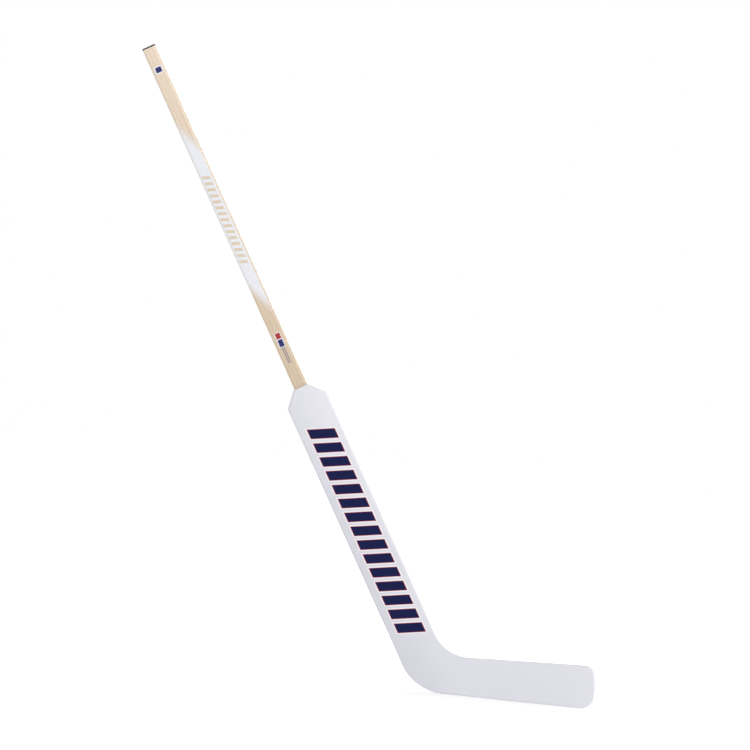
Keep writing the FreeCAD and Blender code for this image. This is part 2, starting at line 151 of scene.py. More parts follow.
def noise(tree: NodeTree, place: Node, size: float, detail: float, roughness: float = 0.5) -> Node:
    """Draw noise whose lumps have a size in the units of its coordinates."""
    return add_node(tree, "TexNoise", {
        "Vector": place, "Scale": 1 / size, "Detail": detail, "Roughness": roughness})


def add_object(name: str, data: Any) -> Object:
    """Put a new object in the scene.

    Args:
        name: Name of the object.
        data: Its light or camera, or a bmesh in millimetres, which becomes its mesh and is freed.

    Returns:
        The object.
    """
    if isinstance(data, BMesh):
        shape, data = data, bpy.data.meshes.new(name)
        bmesh.ops.scale(shape, vec=(MM, MM, MM), verts=shape.verts)
        shape.to_mesh(data)
        shape.free()
    made = bpy.data.objects.new(name, data)
    bpy.context.scene.collection.objects.link(made)
    return made


class Slot(Enum):
    """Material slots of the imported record."""

    BIRCH = "birch_ply"
    ASPEN = "aspen_ply"
    CAP = "cap_black"
    SKIN = "painted_skin"


class Face(Enum):
    """Side of the stick that a ply or a wall looks to, as the sign of its Y."""

    FRONT = -1
    BACK = 1


@dataclass(frozen=True)
class Lean:
    """Frame of the leaning shaft: across the paddle, through it, and along it from the sole."""

    angle: float = 30.0
    setback: float = 150.0

    def at(self, across: float, along: float) -> Vector:
        """Point in the stick's XZ plane, across the axis towards the blade and up along it."""
        return self.matrix() @ Vector((across, 0.0, along))

    def matrix(self) -> Matrix:
        """Transform from the leaning frame to the stick's frame, in millimetres."""
        turn = Matrix.Rotation(-math.radians(self.angle), 4, "Y")
        return Matrix.Translation((-self.setback, 0.0, 0.0)) @ turn

    def coordinates(self, tree: NodeTree) -> Node:
        """Millimetres across, through and along the shaft, read from Object coordinates."""
        place = add_node(tree, "TexCoord")
        return add_node(tree, "Mapping", {
            "Vector": place.outputs["Object"], "Location": (-self.setback * MM, 0.0, 0.0),
            "Rotation": (0.0, -math.radians(self.angle), 0.0), "Scale": (MM, MM, MM)},
            vector_type="TEXTURE")


LEAN = Lean()


class Trace:
    """Closed line in the XZ plane, drawn by extruding and spinning its last vertex."""

    def __init__(self, start: Vector) -> None:
        """Start the line at a point, in millimetres."""
        self.mesh = bmesh.new()
        self.last = self.mesh.verts.new(start)

    def line_to(self, point: Vector) -> None:
        """Draw a straight stretch.

        Args:
            point: Where it ends.
        """
        made = bmesh.ops.extrude_vert_indiv(self.mesh, verts=[self.last])
        self.last = made["verts"][0]
        bmesh.ops.translate(self.mesh, verts=[self.last], vec=point - self.last.co)

    def arc(self, centre: Vector, turn: float, steps: int) -> None:
        """Draw an arc round a centre, by an angle about +Y in radians, in a number of stretches."""
        made = bmesh.ops.spin(self.mesh, geom=[self.last], cent=centre, axis=ACROSS_FACE,
                              angle=turn, steps=steps, use_duplicate=False)
        self.last = next(item for item in made["geom_last"] if isinstance(item, BMVert))

    def round_corner(self, corner: Vector, onward: Vector, radius: float, steps: int) -> None:
        """Draw up to a corner and round it.

        Args:
            corner: The sharp corner.
            onward: A point on the stretch that follows.
            radius: Rounding of the corner.
            steps: Number of stretches in the rounding.
        """
        coming = (corner - self.last.co).normalized()
        going = (onward - corner).normalized()
        turn = math.atan2(coming.cross(going).dot(ACROSS_FACE), coming.dot(going))
        self.line_to(corner - coming * radius * math.tan(abs(turn) / 2))
        inward = Matrix.Rotation(math.copysign(math.pi / 2, turn), 3, "Y") @ coming
        self.arc(self.last.co + inward * radius, turn, steps)

    def sheet(self, stretch: float) -> BMesh:
        """Close the line and fill it.

        Args:
            stretch: Longest stretch of the line, past which it is divided.

        Returns:
            The mesh, with one face.
        """
        bmesh.ops.remove_doubles(self.mesh, verts=self.mesh.verts, dist=WELD)
        for edge in self.mesh.edges[:]:
            cuts = int(edge.calc_length() / stretch)
            if cuts:
                bmesh.ops.subdivide_edges(self.mesh, edges=[edge], cuts=cuts)
        bmesh.ops.contextual_create(self.mesh, geom=self.mesh.edges)
        return self.mesh


def slice_mesh(mesh: BMesh, faces: Iterable[BMFace], point: Vector, normal: Vector,
               clear: bool = False) -> None:
    """Cut faces along a plane.

    Args:
        mesh: The mesh.
        faces: Faces to cut.
        point: A point of the plane.
        normal: Normal of the plane.
        clear: Whether what lies on the normal's side is removed.
    """
    faces = list(faces)
    edges = {edge for face in faces for edge in face.edges}
    verts = {vert for face in faces for vert in face.verts}
    bmesh.ops.bisect_plane(mesh, geom=[*faces, *edges, *verts], dist=CLOSE_SNAP if clear else SNAP,
                           plane_co=point, plane_no=normal, clear_outer=clear)


def pull(mesh: BMesh, faces: list[BMFace], way: Vector) -> None:
    """Extrude faces and move the new ones.

    Args:
        mesh: The mesh.
        faces: Faces to extrude together.
        way: How far the new faces go.
    """
    made = bmesh.ops.extrude_face_region(mesh, geom=faces)
    ends = [item for item in made["geom"] if isinstance(item, BMVert)]
    bmesh.ops.translate(mesh, verts=ends, vec=way)
    inside = [item for item in faces if any(len(edge.link_faces) > 2 for edge in item.edges)]
    bmesh.ops.delete(mesh, geom=inside, context="FACES_ONLY")


def cut_bore(piece: Object, bore: BMesh) -> None:
    """Cut a hole out of a piece with its modifiers, and keep the result as its mesh.

    Args:
        piece: The piece, whose modifiers are used up.
        bore: Closed bmesh in millimetres that is cut away, and freed.
    """
    drill = add_object("drill", bore)
    hole = piece.modifiers.new("bore", "BOOLEAN")
    hole.object = drill
    spent = (drill.data, piece.data)
    shaped = piece.evaluated_get(bpy.context.evaluated_depsgraph_get())
    piece.data = bpy.data.meshes.new_from_object(shaped)
    piece.modifiers.clear()
    bpy.data.objects.remove(drill)
    for mesh in spent:
        bpy.data.meshes.remove(mesh)
    piece.data.name = piece.name


def settle(name: str, mesh: BMesh, material: Material, nodes: Sequence[str],
           wall: float = 0.0, bore: BMesh | None = None) -> None:
    """Turn a mesh in millimetres into a piece that rides on the stick and stands for CAD nodes.

    Args:
        name: Name of the piece.
        mesh: Finished bmesh, which is freed.
        material: Finish of the piece.
        nodes: CAD nodes that the piece stands for.
        wall: Thickness of the wall inside the surface, or 0 for a solid piece.
        bore: Closed bmesh in millimetres that is cut out of the wall, and freed.
    """
    bmesh.ops.remove_doubles(mesh, verts=mesh.verts, dist=WELD)
    bmesh.ops.recalc_face_normals(mesh, faces=mesh.faces)
    piece = add_object(name, mesh)
    piece.data.shade_smooth()
    piece.data.set_sharp_from_angle(angle=SHARP_ANGLE)
    piece.data.materials.append(material)
    if wall:
        solid = piece.modifiers.new("wall", "SOLIDIFY")
        solid.thickness = wall * MM
        # The wall lies inside the surface.
        solid.offset = -1.0
    if bore:
        cut_bore(piece, bore)
    even = piece.modifiers.new("even_shading", "WEIGHTED_NORMAL")
    even.keep_sharp = True
    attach(piece, BODY)
    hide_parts(*nodes)
    log.info("%s: %d faces, stands for %s", name, len(piece.data.polygons), ", ".join(nodes))


@dataclass(frozen=True)
class Block:
    """Printed block in the leaning frame, with slanted ends, or a row of them along the shaft."""

    along: float
    half_along: float
    half_across: float
    across: float = 0.0
    slant: float = 0.0
    pitch: float = 0.0
    count: int = 1

    def distance(self, tree: NodeTree, axes: Node) -> Node:
        """Millimetres outside the nearest block, negative inside it.

        Args:
            tree: Node tree of the material.
            axes: Millimetres across (X) and along (Z) the shaft.

        Returns:
            The node that gives the distance.
        """
        across, along = axes.outputs["X"], axes.outputs["Z"]
        slanted = maths(tree, "MULTIPLY_ADD", across, self.slant, along)
        row_half = self.pitch * (self.count - 1) / 2
        ends = self.past(tree, slanted, self.along, row_half + self.half_along)
        if self.count > 1:
            from_middle = maths(tree, "SUBTRACT", slanted, self.along)
            start = -self.pitch * self.count / 2
            cell = maths(tree, "WRAP", from_middle, start + self.pitch, start)
            gaps = self.past(tree, cell, start + self.pitch / 2, self.half_along)
            ends = maths(tree, "MAXIMUM", gaps, ends)
        return maths(tree, "MAXIMUM", ends, self.past(tree, across, self.across, self.half_across))

    @staticmethod
    def past(tree: NodeTree, place: Any, middle: float, half: float) -> Node:
        """Millimetres past the ends of a stretch, negative inside it."""
        aside = maths(tree, "SUBTRACT", place, middle)
        return maths(tree, "SUBTRACT", maths(tree, "ABSOLUTE", aside), half)


@dataclass(frozen=True)
class Surface:
    """New procedural material with its Principled surface."""

    name: str

    def start(self) -> tuple[Material, NodeTree, Node]:
        """Make the material.

        Returns:
            The material, its node tree and its Principled node.
        """
        material = bpy.data.materials.new(self.name)
        material.use_nodes = True
        tree = material.node_tree
        return material, tree, tree.nodes["Principled BSDF"]

    @staticmethod
    def tinted(tree: NodeTree, colour: Node, axes: Node, run: Span, tint: str) -> Node:
        """Multiply a tint into a colour, from none at a run's start along the shaft to full at its end."""
        return blend(tree, ramp(tree, axes.outputs["Z"], run), colour, tint, "MULTIPLY")


@dataclass(frozen=True)
class Timber(Surface):
    """Sanded straight-grained wood: long pale streaks, short dark pores and a faint tooth."""

    # Planed and sanded wood gives the eye soft lengthwise streaks and a low sheen, with no sparkle.
    pale: str = "#ead9c5"
    deep: str = "#e2cfb9"
    pore: str = "#cbb296"
    glue: str = "#b59d7d"
    # Growth rings cut along the grain: bands about 3 mm wide that run on for 190 mm.
    streak: Triple = (3.2, 3.2, 190.0)
    # Pores are about 0.1 mm wide: drawn 0.8 mm wide, or they would not show.
    fibre: Triple = (0.8, 0.8, 26.0)
    # Broad figure of the cut: its bands' distance, how slowly it changes along the shaft, and its share.
    rings: float = 9.0
    figure_run: float = 0.03
    figure_share: float = 0.3
    # Noise levels between which wood turns from pale to deep, and pores from none to full.
    tone_span: Span = (0.42, 0.92)
    pore_span: Span = (0.58, 0.8)
    pore_share: float = 0.3
    # Glue lines are about 0.1 mm thick: drawn 0.44 mm, or they would not show.
    glue_half: float = 0.22
    # Sanding leaves fibres that stand about 0.06 mm proud.
    tooth: float = 0.06
    sheen: Span = (0.41, 0.55)
    lacquer: float = 0.0
    seams: tuple[float, ...] = ()

    def material(self) -> Material:
        """Build the finish.

        Returns:
            The material.
        """
        material, tree, surface = self.start()
        place = LEAN.coordinates(tree)
        fine = noise(tree, stretched(tree, place, self.fibre), 1.0, detail=3.0, roughness=0.6)
        tooth = add_node(tree, "Bump", {"Height": fine, "Strength": 0.25, "Distance": self.tooth * MM})
        colour = self.decorated(tree, place, self.grain(tree, place, fine))
        sheen = ramp(tree, fine, levels=self.sheen)
        feed(tree, surface, {
            "Base Color": colour, "Normal": tooth, "Roughness": sheen, "IOR": 1.5,
            "Specular IOR Level": 0.25, "Coat Weight": self.lacquer, "Coat Roughness": 0.3})
        return material

    def grain(self, tree: NodeTree, place: Node, fine: Node) -> Node:
        """Grain of the bare wood.

        Args:
            tree: Node tree of the material.
            place: Millimetres across, through and along the shaft.
            fine: Height of the fibres.

        Returns:
            The node that gives the colour.
        """
        tone = noise(tree, stretched(tree, place, self.streak), 1.0, detail=4.0, roughness=0.55)
        # A wave texture repeats every pi / 10 units at scale 1.
        figure = add_node(tree, "TexWave", {
            "Vector": stretched(tree, place, (1.0, 1.0, 1 / self.figure_run)),
            "Scale": math.pi / 10 / self.rings, "Distortion": 5.0, "Detail": 2.0, "Detail Scale": 0.35},
            wave_type="BANDS", bands_direction="X")
        figured = maths(tree, "MULTIPLY_ADD", figure, self.figure_share, tone)
        body = blend(tree, ramp(tree, figured, self.tone_span, smooth=True), self.pale, self.deep)
        pores = ramp(tree, fine, self.pore_span, (0.0, self.pore_share))
        return blend(tree, pores, body, self.pore)

    def decorated(self, tree: NodeTree, place: Node, colour: Node) -> Node:
        """Draw dark glue lines where plies meet.

        Args:
            tree: Node tree of the material.
            place: Millimetres across, through and along the shaft.
            colour: Colour of the bare wood.

        Returns:
            The node that gives the colour with its glue lines.
        """
        through = add_node(tree, "SeparateXYZ", {"Vector": place}).outputs["Y"]
        for seam in self.seams:
            colour = blend(tree, maths(tree, "COMPARE", through, seam, self.glue_half), colour, self.glue)
        return colour


@dataclass(frozen=True)
class PrintedBirch(Timber):
    """Lacquered birch veneer with a sprayed white fade and a few plain printed marks."""

    # Clear lacquer over wood, spray and ink gives the eye one satin sheen, and a light line at corners.
    white: str = "#e9eaf0"
    navy: str = "#070b5c"
    red: str = "#a51723"
    grey: str = "#777681"
    stencil: str = "#dcccb5"
    # Where the sprayed fade starts and ends along the shaft, how soft and slanted its ends are, and
    # where it stops short of the corner on the blade's side.
    fade: Span = (883.0, 1240.0)
    fade_soft: float = 56.0
    fade_slant: float = 2.1
    fade_side: float = 10.6
    side_soft: float = 4.6
    # Spray droplets are under 0.3 mm: drawn 1.7 mm, so that the fade's ends look specked.
    droplet: float = 1.7
    speckle: float = 40.0
    # The wood is darker towards the paddle, and painted shade darkens it most just above the paddle's
    # paint.
    low_tint: str = "#e9e4db"
    tint_run: Span = (1440.0, 700.0)
    junction_shade_run: Span = (692.0, 685.0)
    junction_shade_tint: str = "#efebe4"
    bars: Block = Block(along=1060.0, half_along=3.4, half_across=8.0, across=-1.6, slant=0.36, pitch=13.4,
                        count=15)

    def decorated(self, tree: NodeTree, place: Node, colour: Node) -> Node:
        """Tint the wood, paint shade above the paddle, draw its glue lines, spray the fade and print the
        marks.

        Args:
            tree: Node tree of the material.
            place: Millimetres across, through and along the shaft.
            colour: Colour of the bare wood.

        Returns:
            The node that gives the finished colour.
        """
        axes = add_node(tree, "SeparateXYZ", {"Vector": place})
        # The second tint is painted shade just above the paddle, where the shaft meets it.
        for run, tint in ((self.tint_run, self.low_tint), (self.junction_shade_run, self.junction_shade_tint)):
            colour = self.tinted(tree, colour, axes, run, tint)
        colour = super().decorated(tree, place, colour)
        colour = blend(tree, self.spray(tree, place, axes), colour, self.white)
        for block, ink in self.marks():
            inside = maths(tree, "LESS_THAN", block.distance(tree, axes), 0.0)
            colour = blend(tree, inside, colour, ink)
        return colour

    def marks(self) -> list[tuple[Block, str]]:
        """Bars that a stencil kept bare, then plain printed blocks and rules, each with its colour."""
        return [
            (self.bars, self.stencil),
            (Block(along=1396.0, half_along=8.0, half_across=8.4), self.white),
            (Block(along=1396.0, half_along=5.6, half_across=6.2), self.navy),
            (Block(along=790.5, half_along=16.0, half_across=6.4), self.white),
            (Block(along=799.0, half_along=6.0, half_across=5.0), self.red),
            (Block(along=783.5, half_along=7.6, half_across=5.0), self.navy),
            (Block(along=757.0, half_along=18.0, half_across=0.9, across=-1.8), self.grey),
            (Block(along=757.0, half_along=18.0, half_across=0.9, across=1.8), self.grey),
        ]

    def spray(self, tree: NodeTree, place: Node, axes: Node) -> Node:
        """Spray the white fade, with specked ends.

        Args:
            tree: Node tree of the material.
            place: Millimetres across, through and along the shaft.
            axes: The same, one by one.

        Returns:
            The node that gives how far the spray covers the wood.
        """
        across, along = axes.outputs["X"], axes.outputs["Z"]
        slanted = maths(tree, "MULTIPLY_ADD", across, self.fade_slant, along)
        droplets = noise(tree, place, self.droplet, detail=3.0)
        rough_edge = maths(tree, "MULTIPLY_ADD", droplets, self.speckle, slanted)
        low, high = (edge + self.speckle / 2 for edge in self.fade)
        half, side_half = self.fade_soft / 2, self.side_soft / 2
        starts = ramp(tree, rough_edge, (low - half, low + half), smooth=True)
        ends = ramp(tree, rough_edge, (high + half, high - half), smooth=True)
        on_face = ramp(tree, across, (self.fade_side + side_half, self.fade_side - side_half), smooth=True)
        return maths(tree, "MULTIPLY", maths(tree, "MULTIPLY", starts, ends), on_face)


@dataclass(frozen=True)
class EnamelledSkin(Surface):
    """White enamel sprayed over glass cloth: satin gloss, faint orange peel and a printed design."""

    # Sprayed enamel gives the eye a cool white and a soft, broken sheen; painted shade darkens it a little
    # to one edge.
    white: str = "#e7e7ed"
    cloud_and_shade_white: str = "#d9d9e1"
    # Half the width over which painted shade darkens the white towards one edge.
    shade_drift_half: float = 60.0
    # Painted shade makes the coat a little greyer on the blade than at the shoulders.
    low_tint: str = "#f6f6f7"
    tint_run: Span = (640.0, 300.0)
    navy: str = "#070d3a"
    navy_light: str = "#131c4c"
    keyline: str = "#7c1730"
    halo: str = "#f1e9ee"
    keyline_width: float = 1.5
    halo_width: float = 2.6
    # A pass of the spray gun is about 70 mm wide.
    cloud: float = 70.0
    cloud_share: float = 0.35
    sheen: Span = (0.34, 0.44)
    # Orange peel, from bump to bump, and its depth.
    peel: float = 2.4
    peel_depth: float = 0.05
    # Streaks that the squeegee leaves in the ink.
    drag: Triple = (4.0, 1.0, 50.0)
    bars: Block = Block(along=363.5, half_along=9.2, half_across=25.5, across=2.0, slant=0.384, pitch=31.0,
                        count=15)

    def material(self) -> Material:
        """Build the finish.

        Returns:
            The material.
        """
        material, tree, surface = self.start()
        place = LEAN.coordinates(tree)
        axes = add_node(tree, "SeparateXYZ", {"Vector": place})
        cloud = noise(tree, place, self.cloud, detail=2.0)
        # Painted shade: the white darkens evenly towards the paddle's -X edge, added to random coat
        # clouds.
        shade_drift = ramp(tree, axes.outputs["X"], (-self.shade_drift_half, self.shade_drift_half))
        coats_and_shade = maths(tree, "MULTIPLY_ADD", cloud, self.cloud_share, shade_drift)
        enamel = blend(tree, coats_and_shade, self.cloud_and_shade_white, self.white)
        # Painted shade: the coat turns greyer towards the blade.
        colour = self.tinted(tree, enamel, axes, self.tint_run, self.low_tint)
        edge = self.bars.distance(tree, axes)
        streaks = noise(tree, stretched(tree, place, self.drag), 1.0, detail=3.0)
        ink = blend(tree, streaks, self.navy, self.navy_light)
        layers = ((self.keyline_width + self.halo_width, self.halo), (self.keyline_width, self.keyline),
                  (0.0, ink))
        for reach, paint in layers:
            colour = blend(tree, maths(tree, "LESS_THAN", edge, reach), colour, paint)
        peel = noise(tree, place, self.peel, detail=2.0)
        bump = add_node(tree, "Bump", {"Height": peel, "Strength": 0.12, "Distance": self.peel_depth * MM})
        sheen = ramp(tree, cloud, levels=self.sheen)
        feed(tree, surface, {
            "Base Color": colour, "Normal": bump, "Roughness": sheen, "IOR": 1.5,
            "Specular IOR Level": 0.12})
        return material


@dataclass(frozen=True)
class MouldedCap(Surface):
    """Black polyethylene, moulded with a fine spark-eroded grain that dulls its shine."""

    # The moulded grain gives the eye a dull black with a faint grey bloom.
    black: str = "#131315"
    worn: str = "#201f21"
    # Spark-eroded grain is about 0.1 mm: drawn 0.9 mm, or it would not show.
    grit: float = 0.9
    grit_depth: float = 0.05
    sheen: Span = (0.45, 0.62)

    def material(self) -> Material:
        """Build the finish.

        Returns:
            The material.
        """
        material, tree, surface = self.start()
        grain = noise(tree, LEAN.coordinates(tree), self.grit, detail=3.0)
        tone = blend(tree, grain, self.black, self.worn)
        bump = add_node(tree, "Bump", {"Height": grain, "Strength": 0.3, "Distance": self.grit_depth * MM})
        sheen = ramp(tree, grain, levels=self.sheen)
        feed(tree, surface, {
            "Base Color": tone, "Normal": bump, "Roughness": sheen, "IOR": 1.51,
            "Specular IOR Level": 0.35})
        return material


@dataclass(frozen=True)
class RigidFoam(Surface):
    """Cut closed-cell polyurethane foam: opened cells give a dull, pitted, honey-coloured face."""

    # Opened cells give the eye a matt, finely specked face; painted shade darkens their hollows.
    wall: str = "#e3d3a8"
    pit_shade: str = "#c9b481"
    # Cells are about 0.4 mm: drawn 0.8 mm, or they would not show.
    cell: float = 0.8
    cell_depth: float = 0.3

    def material(self) -> Material:
        """Build the finish.

        Returns:
            The material.
        """
        material, tree, surface = self.start()
        cells = add_node(tree, "TexVoronoi", {"Vector": LEAN.coordinates(tree), "Scale": 1 / self.cell})
        # Painted shade: the cells' hollows are darker than their walls.
        tone = blend(tree, cells, self.pit_shade, self.wall)
        bump = add_node(tree, "Bump", {"Height": cells, "Strength": 0.6, "Distance": self.cell_depth * MM})
        feed(tree, surface, {"Base Color": tone, "Normal": bump, "Roughness": 0.9})
        return material


@dataclass(frozen=True)
class ShaftSection:
    """Rounded rectangle that the plies and the butt cap share."""

    width: float = 29.0
    thickness: float = 20.0
    corner: float = 6.5
    corner_steps: int = 10

    def sheet(self) -> BMesh:
        """Draw the section square to the axis, in the leaning frame.

        Returns:
            A mesh with one face.
        """
        mesh = bmesh.new()
        bmesh.ops.create_grid(mesh, x_segments=1, y_segments=1, size=0.5)
        bmesh.ops.scale(mesh, vec=(self.width, self.thickness, 1.0), verts=mesh.verts)
        bmesh.ops.bevel(mesh, geom=mesh.verts[:], offset=self.corner, offset_type="OFFSET",
                        segments=self.corner_steps, profile=0.5, affect="VERTICES", material=-1)
        return mesh

    def bar(self, foot: float, height: float) -> BMesh:
        """Pull the section along the axis, in the leaning frame.

        Args:
            foot: Start of the bar along the axis.
            height: Its length.

        Returns:
            A closed mesh.
        """
        mesh = self.sheet()
        bmesh.ops.translate(mesh, verts=mesh.verts, vec=UP * foot)
        pull(mesh, mesh.faces[:], UP * height)
        bmesh.ops.recalc_face_normals(mesh, faces=mesh.faces)
        return mesh


@dataclass
class LaminatedShaft:
    """Four plies glued face to face: birch outside, aspen inside, slotted below for the tongue."""

    section: ShaftSection
    mitre: tuple[Vector, Vector]
    face_ply: float = 3.0
    top: float = 1445.0
    slot_top: float = 150.0
    slot_half: float = 4.0
    seam_bevel: float = 0.18
    seam_steps: int = 2
    # An edge is a seam where it is sharper than this, and lies along the axis to this cosine.
    seam_angle: float = math.radians(25)
    seam_cosine: float = 0.99
    lacquer: float = 0.6

    def ply(self, near: float, far: float, face: Face) -> BMesh:
        """Model one ply over its whole length.

        Args:
            near: Distance of its inner face from the shaft's middle.
            far: Distance of its outer face from the shaft's middle.
            face: Half of the shaft that it belongs to.

        Returns:
            The ply in the stick's frame.
        """
        mesh = self.section.sheet()
        slice_mesh(mesh, mesh.faces, ACROSS_FACE * near, -ACROSS_FACE, clear=True)
        slice_mesh(mesh, mesh.faces, ACROSS_FACE * far, ACROSS_FACE, clear=True)
        if near < self.slot_half < far:
            slice_mesh(mesh, mesh.faces, ACROSS_FACE * self.slot_half, ACROSS_FACE)
        bmesh.ops.translate(mesh, verts=mesh.verts, vec=UP * self.slot_top)
        cheeks = [item for item in mesh.faces if item.calc_center_median().y > self.slot_half]
        pull(mesh, mesh.faces[:], UP * (self.top - self.slot_top))
        pull(mesh, cheeks, UP * -self.slot_top)
        bmesh.ops.scale(mesh, vec=(1.0, face.value, 1.0), verts=mesh.verts)
        bmesh.ops.recalc_face_normals(mesh, faces=mesh.faces)
        self.ease_seams(mesh)
        bmesh.ops.transform(mesh, matrix=LEAN.matrix(), verts=mesh.verts)
        low, high = self.mitre
        slice_mesh(mesh, mesh.faces, low, ACROSS_FACE.cross(high - low), clear=True)
        open_edges = [edge for edge in mesh.edges if edge.is_boundary]
        bmesh.ops.holes_fill(mesh, edges=open_edges, sides=0)
        return mesh

    def ease_seams(self, mesh: BMesh) -> None:
        """Break the long sharp edges of an upright ply, so that glue lines show as fine grooves."""
        seams = [edge for edge in mesh.edges if edge.calc_face_angle(0.0) > self.seam_angle
                 and abs((edge.verts[1].co - edge.verts[0].co).normalized().z) > self.seam_cosine]
        bmesh.ops.bevel(mesh, geom=seams, offset=self.seam_bevel, offset_type="OFFSET",
                        segments=self.seam_steps, profile=0.5, affect="EDGES", material=-1)

    def build(self) -> None:
        """Build and dress the four plies."""
        half = self.section.thickness / 2
        core = half - self.face_ply
        seams = (-core, 0.0, core)
        printed = PrintedBirch("lacquered_birch_printed", lacquer=self.lacquer, seams=seams).material()
        plain = Timber("lacquered_birch", lacquer=self.lacquer, seams=seams).material()
        aspen = Timber("lacquered_aspen", pale="#f1e8d9", deep="#e4d7c1", pore="#cebb9b",
                       lacquer=self.lacquer, seams=seams).material()
        for face, side, birch in ((Face.FRONT, "front", printed), (Face.BACK, "back", plain)):
            settle(f"shaft_ply_{side}", self.ply(core, half, face), birch,
                   [f"shaft_face_ply_{side}"])
        for face, side in ((Face.FRONT, "front"), (Face.BACK, "back")):
            settle(f"shaft_core_{side}", self.ply(0.0, core, face), aspen,
                   [f"shaft_core_ply_{side}"])


@dataclass
class ButtCap:
    """Thin moulded cap on the end of the shaft, with a rounded rim and a shallow dished end."""

    section: ShaftSection
    foot: float
    height: float = 3.0
    rim: float = 0.9
    rim_steps: int = 4
    dish_inset: float = 3.2
    dish_depth: float = 0.5

    def build(self) -> None:
        """Build and dress the cap."""
        mesh = self.section.bar(self.foot, self.height)
        end = max(mesh.faces, key=lambda item: item.calc_center_median().z)
        bmesh.ops.inset_region(mesh, faces=[end], thickness=self.dish_inset, use_even_offset=True)
        bmesh.ops.inset_region(mesh, faces=[end], thickness=self.dish_depth, depth=-self.dish_depth,
                               use_even_offset=True)
        top = self.foot + self.height - WELD
        rim = [edge for edge in mesh.edges if edge.calc_face_angle(0.0) > RIM_ANGLE
               and min(vert.co.z for vert in edge.verts) > top]
        bmesh.ops.bevel(mesh, geom=rim, offset=self.rim, offset_type="OFFSET", segments=self.rim_steps,
                        profile=0.5, affect="EDGES", material=-1)
        bmesh.ops.transform(mesh, matrix=LEAN.matrix(), verts=mesh.verts)
        settle("butt_end_cap", mesh, MouldedCap("moulded_black_polyethylene").material(),
               ["butt_cap"])


